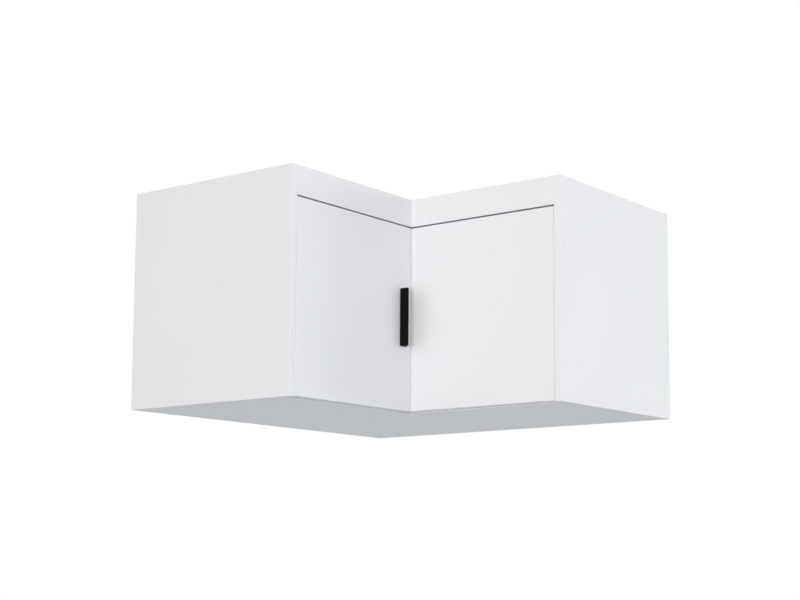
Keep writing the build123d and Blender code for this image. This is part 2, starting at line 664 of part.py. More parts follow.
def root_fasteners():
    """Fasteners and small fittings, each kind in one node."""
    bases = (0, TOP_Z)
    end_pins = [shelf_pin((0, n, PIN_Z), ALONG_S) for n in PIN_LINES]
    post_pin = shelf_pin((POST_PIN_S, BACK_FACE, PIN_Z), ALONG_N)
    dowels = [dowel(DOWEL_LINE, base + BOARD / 2) for base in bases]
    dowels.append(dowel(-BOARD / 2, HEIGHT - FASCIA / 2))
    brackets = [seat for s in BRACKET_LINES for seat in bracket_seats(s)]
    plates = [seat for z in HINGE_Z.values() for seat in plate_seats(z)]
    arms = [seat for z in HINGE_Z.values() for seat in arm_seats(z)]
    kinds = {
        "shelf_pins": end_pins + [post_pin],
        "dowels": dowels,
        "cam_housings": [cam(n, base) for base in bases for n in CAM_LINES],
        "cam_bolts": [cam_bolt(n, base) for base in bases for n in CAM_LINES],
        "cam_caps": [cam_cap(n) for n in CAM_LINES],
        "fascia_brackets": [angle_bracket(s) for s in BRACKET_LINES],
        "bracket_screws": screws(BRACKET_SCREW, brackets),
        "hanger_screws": screws(HANGER_SCREW, hanger_seats()),
        "hinge_plate_screws": screws(PLATE_SCREW, plates),
        "hinge_arm_screws": screws(ARM_SCREW, arms),
    }
    return {
        name: group([shape for piece in pieces for shape in both(piece)])
        for name, pieces in kinds.items()
    }


def door_nodes(side):
    """Everything that swings with one door."""
    nodes = {f"{side}_door_panel": place(door_panel(side), side)}
    if side == "left":
        nodes["left_door_handle"] = place(handle(), side)
        pieces = screws(HANDLE_SCREW, handle_seats())
        nodes["left_handle_screws"] = group([place(piece, side) for piece in pieces])
    for level, z in HINGE_Z.items():
        nodes[f"{side}_{level}_hinge_cup"] = place(hinge_cup(z), side)
    pivots = [hinge_pivot(z) for z in HINGE_Z.values()]
    pieces = screws(CUP_SCREW, [seat for z in HINGE_Z.values() for seat in cup_seats(z)])
    nodes[f"{side}_hinge_pivots"] = group([place(pivot, side) for pivot in pivots])
    nodes[f"{side}_cup_screws"] = group([place(piece, side) for piece in pieces])
    nodes[f"{side}_door_bumpers"] = group([place(dot, side) for dot in bumpers(side)])
    return nodes


os.makedirs("parts", exist_ok=True)
all_nodes = {**root_nodes(), **root_fasteners(), **door_nodes("left"), **door_nodes("right")}
for node_name, node_shape in all_nodes.items():
    export_step(node_shape, f"parts/{node_name}.step")
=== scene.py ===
import json
import math

import bmesh
import bpy
from mathutils import Euler, Matrix, Vector

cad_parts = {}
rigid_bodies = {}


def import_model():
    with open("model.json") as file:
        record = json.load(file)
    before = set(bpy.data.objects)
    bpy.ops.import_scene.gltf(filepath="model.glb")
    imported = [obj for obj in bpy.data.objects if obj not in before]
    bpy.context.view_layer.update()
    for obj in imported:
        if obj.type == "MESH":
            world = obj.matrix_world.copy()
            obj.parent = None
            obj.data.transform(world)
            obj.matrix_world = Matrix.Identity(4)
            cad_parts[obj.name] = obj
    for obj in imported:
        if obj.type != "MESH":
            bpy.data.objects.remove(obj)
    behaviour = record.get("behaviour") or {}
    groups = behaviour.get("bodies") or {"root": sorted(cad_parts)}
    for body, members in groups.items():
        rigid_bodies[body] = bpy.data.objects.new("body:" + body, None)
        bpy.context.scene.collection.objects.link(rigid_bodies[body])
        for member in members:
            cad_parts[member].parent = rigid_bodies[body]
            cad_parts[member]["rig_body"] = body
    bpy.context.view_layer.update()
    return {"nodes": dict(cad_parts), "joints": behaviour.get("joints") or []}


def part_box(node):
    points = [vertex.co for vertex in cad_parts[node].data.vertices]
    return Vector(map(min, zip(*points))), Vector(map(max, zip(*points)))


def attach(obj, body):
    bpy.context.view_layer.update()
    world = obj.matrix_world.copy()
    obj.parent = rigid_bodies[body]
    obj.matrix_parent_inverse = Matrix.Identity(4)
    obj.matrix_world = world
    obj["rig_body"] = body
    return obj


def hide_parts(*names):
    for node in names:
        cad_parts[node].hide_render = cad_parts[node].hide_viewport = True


# The looks of the corner wall cabinet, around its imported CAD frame. Metres, +Z up. The walls of the
# room's corner are the planes X = -0.4 and Y = +0.4. The left wing's front faces +X, and the right
# wing's front faces -Y. Colours are linear: srgb() makes linear ones from display values.

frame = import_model()
nodes = frame["nodes"]

SIDES = ("left", "right")
LEVELS = ("lower", "upper")

# ---- places, from the frame ----
DEPTH_AXIS = {"left": "X", "right": "Y"}  # from a wing's wall to its front
INTO_BOARD = {"left": -1, "right": 1}  # from a wing's front towards its wall


def wall_face(side, node):
    """Where the face of a node that looks at the wing's wall lies, along the wing's depth."""
    low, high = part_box(node)
    return low.x if side == "left" else high.y


def front_face(side, node):
    """Where the face of a node that looks into the room lies, along the wing's depth."""
    low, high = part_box(node)
    return high.x if side == "left" else low.y


def wing_frame():
    """The matrix that takes a wing's own place (s, n, z) into the room, for each wing.

    s runs from the end panel's inner face to the inner corner, n from the front face into the room."""
    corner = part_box("right_end_panel")[0]
    right = Matrix(((-1, 0, 0, corner.x), (0, -1, 0, corner.y), (0, 0, 1, 0), (0, 0, 0, 1)))
    mirror = Matrix(((0, -1, 0, 0), (-1, 0, 0, 0), (0, 0, 1, 0), (0, 0, 0, 1)))
    return {"left": mirror @ right, "right": right}


WING = wing_frame()
# A point on each door's hinge line.
HINGE_LINE = {joint["child"]: Vector(joint["pos_m"]) for joint in frame["joints"]}


# ---- shorthand for node materials ----
NOISE_MIDDLE = (0.3, 0.7)  # most of a noise's values lie between these two
NOISE_CORE = (0.35, 0.65)  # a narrower middle, for more contrast
MIX_SHARE = 0  # the sockets for colours of a mix node
MIX_FIRST = 6
MIX_SECOND = 7
MIX_RESULT = 2


def linear(value):
    """The linear share of a display value from 0 to 255."""
    share = value / 255
    return share / 12.92 if share <= 0.04045 else ((share + 0.055) / 1.055) ** 2.4


def srgb(red, green, blue):
    """The linear colour of display values from 0 to 255."""
    return (linear(red), linear(green), linear(blue), 1.0)


class Paint:
    """A material under construction. Its textures follow the object's own coordinates."""

    def __init__(self, name):
        self.material = bpy.data.materials.new(name)
        self.material.use_nodes = True
        self.tree = self.material.node_tree
        self.tree.nodes.clear()
        self.output = self.add("ShaderNodeOutputMaterial")
        self.shader = self.add("ShaderNodeBsdfPrincipled")
        self.join(self.shader.outputs["BSDF"], self.output.inputs["Surface"])
        self.place = self.add("ShaderNodeTexCoord").outputs["Object"]

    def add(self, kind, **settings):
        """A new node with its settings."""
        node = self.tree.nodes.new(kind)
        for key, value in settings.items():
            setattr(node, key, value)
        return node

    def join(self, source, target):
        """Link an output to an input."""
        self.tree.links.new(source, target)

    def feed(self, target, value):
        """Link an output to an input, or set the input to a constant."""
        if isinstance(value, bpy.types.NodeSocket):
            self.join(value, target)
        else:
            target.default_value = value

    def set(self, **values):
        """Uniform values on the shader's own sockets."""
        for key, value in values.items():
            self.shader.inputs[key.replace("_", " ")].default_value = value

    def stretched(self, stretch):
        """The coordinates, scaled by axis where a stretch is given."""
        if stretch is None:
            return self.place
        mapping = self.add("ShaderNodeMapping")
        mapping.inputs["Scale"].default_value = stretch
        self.join(self.place, mapping.inputs["Vector"])
        return mapping.outputs["Vector"]

    def noise(self, scale, detail=2.0, rough=0.5, stretch=None):
        """A soft noise from 0 to 1."""
        place = self.stretched(stretch)
        node = self.add("ShaderNodeTexNoise")
        node.inputs["Scale"].default_value = scale
        node.inputs["Detail"].default_value = detail
        node.inputs["Roughness"].default_value = rough
        self.join(place, node.inputs["Vector"])
        return node.outputs["Fac"]

    def cells(self, scale, output="Distance", stretch=None):
        """Small cells: the distance from each one's middle, or its colour."""
        place = self.stretched(stretch)
        node = self.add("ShaderNodeTexVoronoi")
        node.inputs["Scale"].default_value = scale
        self.join(place, node.inputs["Vector"])
        return node.outputs[output]

    def compute(self, operation, first, second=0.0, third=0.0):
        """The result of a math node."""
        node = self.add("ShaderNodeMath", operation=operation)
        for target, value in zip(node.inputs, (first, second, third)):
            self.feed(target, value)
        return node.outputs[0]

    def weigh(self, first, share, second):
        """The first value by its share, and the second by the rest."""
        rest = self.compute("MULTIPLY", second, 1 - share)
        return self.compute("MULTIPLY_ADD", first, share, rest)

    def spread(self, value, start=0, end=1, between=NOISE_MIDDLE):
        """The values between two limits, spread from a start to an end."""
        node = self.add("ShaderNodeMapRange")
        for target, item in zip(node.inputs, (value, *between, start, end)):
            self.feed(target, item)
        return node.outputs[0]

    def mix(self, share, first, second):
        """A colour between two."""
        node = self.add("ShaderNodeMix", data_type="RGBA")
        self.feed(node.inputs[MIX_SHARE], share)
        self.feed(node.inputs[MIX_FIRST], first)
        self.feed(node.inputs[MIX_SECOND], second)
        return node.outputs[MIX_RESULT]

    def near(self, axis, where, reach):
        """1 within reach of a plane across an axis, and 0 elsewhere."""
        node = self.add("ShaderNodeSeparateXYZ")
        self.join(self.place, node.inputs[0])
        return self.compute("COMPARE", node.outputs[axis], where, reach)

    def colour(self, value):
        """The shader's colour."""
        self.join(value, self.shader.inputs["Base Color"])

    def roughness(self, value):
        """The shader's roughness."""
        self.join(value, self.shader.inputs["Roughness"])

    def bump(self, height, distance, strength):
        """The shader's relief."""
        node = self.add("ShaderNodeBump")
        node.inputs["Distance"].default_value = distance
        node.inputs["Strength"].default_value = strength
        self.join(height, node.inputs["Height"])
        self.join(node.outputs["Normal"], self.shader.inputs["Normal"])


# ---- materials ----
WHITE = srgb(231, 233, 235)
WHITE_DIM = srgb(229, 231, 233)
HAIRLINE = srgb(190, 192, 194)
HAIRLINE_SHARE = 0.35
HAIRLINE_REACH = 0.00012  # half of its width
BAND = 0.0008  # thickness of the edge banding
CHIP_DARK = (0.26, 0.18, 0.11, 1)
CHIP_LIGHT = (0.52, 0.40, 0.27, 1)
CHIP_DUST = (0.47, 0.36, 0.25, 1)
CHIP_ROUGHNESS = 0.9
CHIP_RELIEF = 6.0  # for 1 of the coating's relief
FLECK_SHARE = 0.25  # in the coating's shade; the rest is a soft cloud
PEARL_SHARE = 0.6  # in the coating's relief; the rest is the fleck
RAW_REACH = 0.0004  # what lies this near to a raw plane looks raw
LACQUER = srgb(231, 233, 234)
LACQUER_DIM = srgb(226, 228, 229)
FIBRE_DARK = (0.20, 0.125, 0.07, 1)
FIBRE_LIGHT = (0.36, 0.25, 0.155, 1)
FIBRE_CLOUD = (0.26, 0.17, 0.1, 1)
BARE_REACH = 0.0012  # what lies this near to the hardboard's rear face looks bare
BARE_ROUGHER = 0.35
BARE_RELIEF = 3.0  # on top of the lacquered side's
LACQUER_RELIEF = 0.6
NICKEL_LIGHT = (0.66, 0.65, 0.63, 1)
NICKEL_DARK = (0.58, 0.575, 0.56, 1)
ZINC_LIGHT = (0.60, 0.62, 0.64, 1)
ZINC_DARK = (0.49, 0.505, 0.52, 1)
POWDER_DARK = (0.0042, 0.0045, 0.005, 1)
POWDER_LIGHT = (0.0062, 0.0066, 0.0074, 1)
PLASTIC_WHITE = srgb(228, 228, 226)
PLASTIC_DIM = 0.95  # of the plastic's own colour
BEECH_DARK = (0.42, 0.27, 0.15, 1)
BEECH_LIGHT = (0.62, 0.45, 0.29, 1)
BEECH_FLECK = (0.3, 0.17, 0.09, 1)
CLEAR_DIM = (0.78, 0.79, 0.8, 1)
CLEAR_LIGHT = (0.86, 0.87, 0.88, 1)


def chips(paint):
    """The colour and the relief of raw particle board."""
    flakes = paint.add("ShaderNodeSeparateColor")
    paint.join(paint.cells(scale=760, output="Color", stretch=(0.5, 0.5, 1.0)), flakes.inputs[0])
    colour = paint.mix(flakes.outputs["Red"], CHIP_DARK, CHIP_LIGHT)
    dust = paint.spread(paint.noise(scale=900, detail=3), end=0.5, between=NOISE_CORE)
    return paint.mix(dust, colour, CHIP_DUST), flakes.outputs["Green"]


def melamine(name, raw=(), joints=()):
    """White coated board with a faint pearl texture.

    raw holds (axis, where) of planes that no banding covers, and joints those of hairlines at the
    end of the banding."""
    paint = Paint(name)
    pearl = paint.noise(scale=1900)
    cloud = paint.noise(scale=5, detail=3)
    fleck = paint.noise(scale=160, detail=4, rough=0.6)
    shade = paint.weigh(fleck, FLECK_SHARE, cloud)
    colour = paint.mix(paint.spread(shade), WHITE_DIM, WHITE)
    for axis, where in joints:
        line = paint.near(axis, where, HAIRLINE_REACH)
        colour = paint.mix(paint.compute("MULTIPLY", line, HAIRLINE_SHARE), colour, HAIRLINE)
    rough = paint.spread(paint.noise(scale=60, detail=3), start=0.36, end=0.46)
    relief = paint.weigh(pearl, PEARL_SHARE, fleck)
    if raw:
        masks = [paint.near(axis, where, RAW_REACH) for axis, where in raw]
        mask = masks[0]
        for other in masks[1:]:
            mask = paint.compute("MAXIMUM", mask, other)
        chip, crumbs = chips(paint)
        colour = paint.mix(mask, colour, chip)
        rough = paint.compute("MAXIMUM", rough, paint.compute("MULTIPLY", mask, CHIP_ROUGHNESS))
        crumbs = paint.compute("MULTIPLY", mask, paint.compute("MULTIPLY", crumbs, CHIP_RELIEF))
        relief = paint.compute("ADD", relief, crumbs)
    paint.colour(colour)
    paint.roughness(rough)
    paint.bump(relief, distance=0.00005, strength=0.5)
    paint.set(Specular_IOR_Level=0.35, IOR=1.5)
    return paint.material


def hardboard(name, axis, rear):
    """Thin fibre board: lacquered white inside, brown and fibrous towards the wall."""
    paint = Paint(name)
    fibre = paint.noise(scale=500, detail=6, rough=0.7, stretch=(1, 1, 1.6))
    cloud = paint.noise(scale=9, detail=3)
    brown = paint.mix(paint.spread(fibre), FIBRE_DARK, FIBRE_LIGHT)
    brown = paint.mix(paint.spread(cloud, end=0.35, between=NOISE_CORE), brown, FIBRE_CLOUD)
    white = paint.mix(paint.spread(fibre), LACQUER_DIM, LACQUER)
    bare = paint.near(axis, rear, BARE_REACH)
    smooth = paint.spread(fibre, start=0.42, end=0.5)
    depth = paint.compute("MULTIPLY_ADD", bare, BARE_RELIEF, LACQUER_RELIEF)
    paint.colour(paint.mix(bare, white, brown))
    paint.roughness(paint.compute("MULTIPLY_ADD", bare, BARE_ROUGHER, smooth))
    paint.bump(paint.compute("MULTIPLY", fibre, depth), distance=0.00005, strength=0.6)
    paint.set(Specular_IOR_Level=0.3)
    return paint.material


def plated(name, light, dark, rough, streaks=(1, 1, 1)):
    """Plated steel with fine scratches and a faint cloudiness."""
    paint = Paint(name)
    cloud = paint.noise(scale=140, detail=4, rough=0.6)
    scratch = paint.noise(scale=1500, detail=3, rough=0.7, stretch=streaks)
    paint.colour(paint.mix(paint.spread(cloud), dark, light))
    paint.roughness(paint.spread(scratch, start=rough - 0.06, end=rough + 0.08))
    paint.bump(scratch, distance=0.00002, strength=0.5)
    paint.set(Metallic=1.0)
    return paint.material


def powder_black():
    """Matt black powder coat with its fine grain."""
    paint = Paint("black_powder_coat")
    grain = paint.cells(scale=2600)
    soft = paint.noise(scale=700, detail=3)
    paint.colour(paint.mix(paint.spread(soft), POWDER_DARK, POWDER_LIGHT))
    paint.roughness(paint.spread(soft, start=0.46, end=0.58))
    paint.bump(grain, distance=0.00003, strength=0.6)
    paint.set(Specular_IOR_Level=0.05)
    return paint.material


def plastic(name, colour, rough=0.42):
    """Moulded plastic with a fine spark-eroded texture."""
    paint = Paint(name)
    spark = paint.noise(scale=2200, detail=3, rough=0.6)
    flow = paint.noise(scale=60)
    dim = tuple(PLASTIC_DIM * channel for channel in colour[:3]) + (1,)
    paint.colour(paint.mix(paint.spread(flow, between=NOISE_CORE), dim, colour))
    paint.roughness(paint.spread(spark, start=rough - 0.05, end=rough + 0.07))
    paint.bump(spark, distance=0.00003, strength=0.5)
    return paint.material


def beech():
    """Raw beech with its short darker flecks along the grain."""
    paint = Paint("beech")
    grain = paint.noise(scale=420, detail=4, rough=0.65, stretch=(0.2, 0.2, 1))
    fleck = paint.cells(scale=1400, stretch=(0.3, 0.3, 1))
    colour = paint.mix(paint.spread(grain), BEECH_DARK, BEECH_LIGHT)
    share = paint.spread(fleck, start=0.4, end=0, between=(0.0, 0.25))
    paint.colour(paint.mix(share, colour, BEECH_FLECK))
    paint.roughness(paint.spread(grain, start=0.6, end=0.75))
    paint.bump(grain, distance=0.0001, strength=0.5)
    return paint.material


def soft_clear():
    """The clear soft plastic of the door bumpers."""
    paint = Paint("clear_soft_plastic")
    cloud = paint.noise(scale=300, detail=3)
    paint.colour(paint.mix(cloud, CLEAR_DIM, CLEAR_LIGHT))
    paint.roughness(paint.spread(cloud, start=0.12, end=0.22))
    paint.bump(cloud, distance=0.00002, strength=0.3)
    paint.set(Transmission_Weight=0.5, IOR=1.48)
    return paint.material


def dress(name, material):
    """Give a CAD node its material."""
    for slot in nodes[name].material_slots:
        slot.link = "OBJECT"
        slot.material = material


def dress_boards():
    """The coated boards and the hardboard backs.

    Coated boards are raw along the walls, and a hairline ends each end panel's banding."""
    raw = {side: (DEPTH_AXIS[side], wall_face(side, side + "_end_panel")) for side in SIDES}
    plain = melamine("white_coated_board")
    raw_rear = melamine("white_board_raw_rear", raw=tuple(raw.values()))
    dress("shelf", plain)
    dress("bottom_board", raw_rear)
    dress("top_board", raw_rear)
    for side in SIDES:
        axis = DEPTH_AXIS[side]
        line = (axis, front_face(side, side + "_end_panel") + INTO_BOARD[side] * BAND)
        panel = melamine(side + "_panel_board", raw=(raw[side],), joints=(line,))
        dress(side + "_end_panel", panel)
        dress(side + "_fascia", plain)
        dress(side + "_door_panel", plain)
        dress(side + "_rear_post", raw_rear)
        rear = wall_face(side, side + "_back_panel")
        dress(side + "_back_panel", hardboard(side + "_hardboard", axis, rear))


def dress_fittings():
    """Steel, plastic, beech and the handle's black."""
    nickel = plated("nickel_plate", NICKEL_LIGHT, NICKEL_DARK, rough=0.26, streaks=(1, 1, 0.15))
    zinc = plated("zinc_plate", ZINC_LIGHT, ZINC_DARK, rough=0.36)
    white_plastic = plastic("white_plastic", PLASTIC_WHITE)
    clear = soft_clear()
    for side in SIDES:
        for level in LEVELS:
            for part in ("arm", "plate", "cup"):
                dress(f"{side}_{level}_hinge_{part}", nickel)
        for part in ("hanger_hook", "wall_plate", "hinge_pivots", "cup_screws"):
            dress(f"{side}_{part}", zinc)
        dress(side + "_hanger", white_plastic)
        dress(side + "_door_bumpers", clear)
    for name in ("shelf_pins", "cam_housings", "cam_bolts", "fascia_brackets", "bracket_screws",
                 "hanger_screws", "hinge_plate_screws", "hinge_arm_screws", "left_handle_screws"):
        dress(name, zinc)
    dress("cam_caps", white_plastic)
    dress("dowels", beech())
    dress("left_door_handle", powder_black())


dress_boards()
dress_fittings()


# ---- softer edges on the CAD nodes ----
EDGE_ROUND = 0.0003
PLASTIC_ROUND = 0.0006
WELD_REACH = 0.00001
FLAT_BELOW = 1  # degrees between faces that are one flat face
SHARP_FROM = 40  # degrees between faces that meet in an edge


def soften(name, width=EDGE_ROUND, segments=2):
    """Round a node's edges a little. Its faces come apart from each other, so they are joined first."""
    weld = nodes[name].modifiers.new("weld", "WELD")
    weld.merge_threshold = WELD_REACH
    flats = nodes[name].modifiers.new("flats", "DECIMATE")
    flats.decimate_type = "DISSOLVE"
    flats.angle_limit = math.radians(FLAT_BELOW)
    bevel = nodes[name].modifiers.new("edges", "BEVEL")
    bevel.width = width
    bevel.segments = segments
    bevel.limit_method = "ANGLE"
    bevel.angle_limit = math.radians(SHARP_FROM)


for name in ("bottom_board", "top_board", "shelf", "fascia_brackets", "left_door_handle"):
    soften(name)
for side in SIDES:
    for part in ("end_panel", "fascia", "door_panel", "rear_post", "wall_plate", "hanger_hook"):
        soften(f"{side}_{part}")
    soften(side + "_hanger", PLASTIC_ROUND, segments=3)
    for level in LEVELS:
        soften(f"{side}_{level}_hinge_plate")
        soften(f"{side}_{level}_hinge_arm")


# ---- tools for the small pieces that replace their plain CAD solids, where those are ----
SAME_POINT = 0.000001
ROUND_STEPS = 32
HEXAGON = math.cos(math.radians(30))  # from a polygon's middle to its sides, for 1 to its corners
DECAGON = math.cos(math.radians(18))


def solids(name):
    """The corner points of each separate solid in a node."""
    mesh = bmesh.new()
    mesh.from_mesh(nodes[name].data)
    bmesh.ops.remove_doubles(mesh, verts=mesh.verts, dist=SAME_POINT)
    done = set()
    found = []
    for first in mesh.verts:
        if first in done:
            continue
        done.add(first)
        points = [first]
        for point in points:
            for edge in point.link_edges:
                other = edge.other_vert(point)
                if other not in done:
                    done.add(other)
                    points.append(other)
        found.append([point.co.copy() for point in points])
    mesh.free()
    return found


def extent(points):
    """The lowest and highest corner of some points."""
    low = Vector([min(point[axis] for point in points) for axis in range(3)])
    high = Vector([max(point[axis] for point in points) for axis in range(3)])
    return low, high


def longest(size):
    """The number of the axis that a size is largest along."""
    return max(range(3), key=lambda axis: size[axis])


def unit(axis, sign=1):
    """The direction of an axis, from its number and which way."""
    direction = Vector((0, 0, 0))
    direction[axis] = sign
    return direction


def round_solid(points, axis=None):
    """Middle, direction, radius and half length of a straight round solid.

    Its axis is the longest one, unless another is given."""
    low, high = extent(points)
    size = high - low
    if axis is None:
        axis = longest(size)
    radius = max(size[other] for other in range(3) if other != axis) / 2
    return (low + high) / 2, unit(axis), radius, size[axis] / 2


def bridge(mesh, rows):
    """Faces between closed rows of points. A row at a tip repeats one point."""
    for lower, upper in zip(rows, rows[1:]):
        for step in range(len(lower)):
            ahead = (step + 1) % len(lower)
            corners = [lower[step], lower[ahead], upper[ahead], upper[step]]
            mesh.faces.new(list(dict.fromkeys(corners)))


def turned(profile):
    """A closed round body along +Z from (radius, height) steps; both ends lie on the axis."""
    mesh = bmesh.new()
    angles = [2 * math.pi * step / ROUND_STEPS for step in range(ROUND_STEPS)]
    rows = []
    for radius, height in profile:
        if radius == 0:
            rows.append([mesh.verts.new((0, 0, height))] * ROUND_STEPS)
        else:
            rows.append([mesh.verts.new((radius * math.cos(angle), radius * math.sin(angle), height))
                         for angle in angles])
    bridge(mesh, rows)
    bmesh.ops.recalc_face_normals(mesh, faces=mesh.faces)
    return mesh


def both_halves(below):
    """A whole profile from the half below its middle."""
    return below + [(radius, -height) for radius, height in reversed(below)]


def bar(low, high):
    """A plain bar, to cut slots with or to make a lug of."""
    mesh = bmesh.new()
    bmesh.ops.create_cube(mesh, size=1)
    size = Vector(high) - Vector(low)
    middle = (Vector(high) + Vector(low)) / 2
    bmesh.ops.scale(mesh, vec=size, verts=mesh.verts)
    bmesh.ops.translate(mesh, vec=middle, verts=mesh.verts)
    return mesh


def to_mesh(work, name):
    """A mesh made of a bmesh, which is freed."""
    mesh = bpy.data.meshes.new(name)
    work.to_mesh(mesh)
    work.free()
    return mesh


def to_object(work, name):
    """An object in the scene made of a bmesh, which is freed."""
    item = bpy.data.objects.new(name, to_mesh(work, name))
    bpy.context.scene.collection.objects.link(item)
    return item


def carved(body, tools):
    """The body less the tools. All of them are used up."""
    item = to_object(body, "body")
    cutters = []
    for tool in tools:
        cutter = to_object(tool, "cutter")
        cut = item.modifiers.new("cut", "BOOLEAN")
        cut.operation = "DIFFERENCE"
        cut.solver = "EXACT"
        cut.object = cutter
        cutters.append(cutter)
    result = bmesh.new()
    result.from_object(item, bpy.context.evaluated_depsgraph_get())
    for extra in cutters + [item]:
        bpy.data.objects.remove(extra)
    return result


def aim(place, direction, turn=0.0):
    """The matrix that takes a body along +Z to a place and a direction."""
    facing = direction.to_track_quat("Z", "Y").to_matrix().to_4x4()
    return Matrix.Translation(place) @ facing @ Matrix.Rotation(turn, 4, "Z")


def piece(node, parts):
    """One object in place of a node, made of (bmesh, matrix) parts. It rides where the node rides."""
    whole = bmesh.new()
    for part, matrix in parts:
        copy = part.copy()
        bmesh.ops.transform(copy, matrix=matrix, verts=copy.verts)
        bmesh.ops.recalc_face_normals(copy, faces=copy.faces)
        for face in copy.faces:
            face.smooth = True
        for edge in copy.edges:
            edge.smooth = edge.calc_face_angle(math.pi) < math.radians(SHARP_FROM)
        scratch = to_mesh(copy, "scratch")
        whole.from_mesh(scratch)
        bpy.data.meshes.remove(scratch)
    item = to_object(whole, node + "_fine")
    item.data.materials.append(nodes[node].material_slots[0].material)
    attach(item, nodes[node]["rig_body"])
    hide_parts(node)


# ---- screws ----
# A head is as high as its thread's radius. Its dome goes outwards in (share of the head's radius,
# share of its height), and the other shares are of the height.
HEAD_DOME = ((0, 1), (0.45, 0.97), (0.75, 0.82), (0.93, 0.55), (1, 0.3))
HEAD_EDGE = 0.2
SLOT_REACH = 0.82  # share of the head's radius
SLOT_HALF = 0.27
SLOT_FLOOR = 0.45
SLOT_TOP = 2  # the cut starts above the dome
TIP_LENGTH = 1.5
TIP_RADIUS = 0.3
IN_HEAD = 0.9  # points further out than this share of the head's radius belong to the head
SCREW_TURNS = (0, 68, 25, 112, 150, 47, 91)  # degrees, as a hand leaves the slots


def screw_body(head, rise, length):
    """A screw along +Z with its seat at 0: a domed, slotted head below and the shank above."""
    edge = HEAD_EDGE * rise
    core = HEXAGON * rise
    profile = [(across * head, -down * rise) for across, down in HEAD_DOME]
    profile += [(head, -edge), (head - edge, 0), (core, 0), (core, length - TIP_LENGTH * rise),
                (TIP_RADIUS * rise, length), (0, length)]
    reach = SLOT_REACH * head
    half = SLOT_HALF * rise
    slot = bar((-reach, -half, -SLOT_TOP * rise), (reach, half, -SLOT_FLOOR * rise))
    return carved(turned(profile), [slot])


def screw_measures(points):
    """Seat, direction, head's radius, head's height and length under the head of a plain screw."""
    low, high = extent(points)
    size = high - low
    axis = longest(size)
    middle = (low + high) / 2
    others = [other for other in range(3) if other != axis]
    across = [math.hypot(*[point[other] - middle[other] for other in others]) for point in points]
    head = max(across)
    levels = [point[axis] for point, radius in zip(points, across) if radius > IN_HEAD * head]
    head_first = min(levels) - low[axis] < high[axis] - max(levels)
    seat = middle.copy()
    seat[axis] = max(levels) if head_first else min(levels)
    rise = max(levels) - min(levels)
    return seat, unit(axis, 1 if head_first else -1), head, rise, size[axis] - rise


def screw_pieces(node):
    """Detailed screws on the plain ones of a node."""
    parts = []
    bodies = {}
    for points in solids(node):
        seat, direction, head, rise, length = screw_measures(points)
        kind = (round(head, 6), round(length, 6))
        if kind not in bodies:
            bodies[kind] = screw_body(head, rise, length)
        turn = math.radians(SCREW_TURNS[len(parts) % len(SCREW_TURNS)])
        parts.append((bodies[kind], aim(seat, direction, turn)))
    piece(node, parts)


# ---- shelf pins, caps and bumpers ----
PIN_EDGE = 0.0005
PIN_GROOVE_HALF = 0.0004
PIN_GROOVE_FLOOR = 0.0002  # half of the floor's width
PIN_GROOVE_SHARE = 0.86  # radius in the groove, for 1 of the pin's
CAP_RIM = 0.0004
BUMPER_RIM = 0.0012
RIM_LIMIT = 0.8  # of half the thickness
RIM_CORNER = 0.3  # of the rim: how far its middle lies in from the square corner
UP = 2  # the number of the Z axis
BUMPER_AXIS = {"left": 0, "right": 1}


def shelf_pins():
    """Steel pins with turned ends and a groove in the middle."""
    parts = []
    for points in solids("shelf_pins"):
        middle, direction, radius, half = round_solid(points)
        below = [(0, -half), (radius - PIN_EDGE, -half), (radius, PIN_EDGE - half),
                 (radius, -PIN_GROOVE_HALF), (PIN_GROOVE_SHARE * radius, -PIN_GROOVE_FLOOR)]
        parts.append((turned(both_halves(below)), aim(middle, direction)))
    piece("shelf_pins", parts)


def discs(node, rim, axis):
    """Round dots with a soft rim in place of a node's flat-sided ones."""
    parts = []
    for points in solids(node):
        middle, direction, radius, half = round_solid(points, axis)
        soft = min(rim, RIM_LIMIT * half)
        corner = RIM_CORNER * soft
        below = [(0, -half), (radius - soft, -half), (radius - corner, corner - half),
                 (radius, soft - half)]
        parts.append((turned(both_halves(below)), aim(middle, direction)))
    piece(node, parts)


# ---- cam housings ----
CAM_PLAY = 0.00005  # from the CAD solid's ends
CAM_EDGE = 0.0003
CAM_RIM = 0.0014  # width of the raised rim
CAM_RIM_FOOT = 0.0016  # and at its foot
CAM_DISH = 0.0004  # depth inside the rim
CAM_SLOT = 0.005  # half length
CAM_CROSS = 0.003  # half length of the shorter slot across it
CAM_SLOT_HALF = 0.0009
CAM_SLOT_DEPTH = 0.002
CAM_MOUTH_HALF = 0.0034
BOLT_DEPTH = 0.008  # half of the board
CUT_BEYOND = 0.001  # a cut goes this far out of the body


def cam_body(radius, half, bolt):
    """A cam housing along +Z: a rim, a cross slot, and a mouth towards +X at the bolt's height."""
    dish = half - CAM_DISH
    profile = [(0, -half), (radius, -half), (radius, half - CAM_EDGE), (radius - CAM_EDGE, half),
               (radius - CAM_RIM, half), (radius - CAM_RIM_FOOT, dish), (0, dish)]
    floor_at = half - CAM_SLOT_DEPTH
    top = half + CUT_BEYOND
    slot = bar((-CAM_SLOT, -CAM_SLOT_HALF, floor_at), (CAM_SLOT, CAM_SLOT_HALF, top))
    cross = bar((-CAM_SLOT_HALF, -CAM_CROSS, floor_at), (CAM_SLOT_HALF, CAM_CROSS, top))
    mouth = bar((0, -CAM_MOUTH_HALF, bolt - CAM_MOUTH_HALF),
                (2 * radius, CAM_MOUTH_HALF, bolt + CAM_MOUTH_HALF))
    return carved(turned(profile), [slot, cross, mouth])


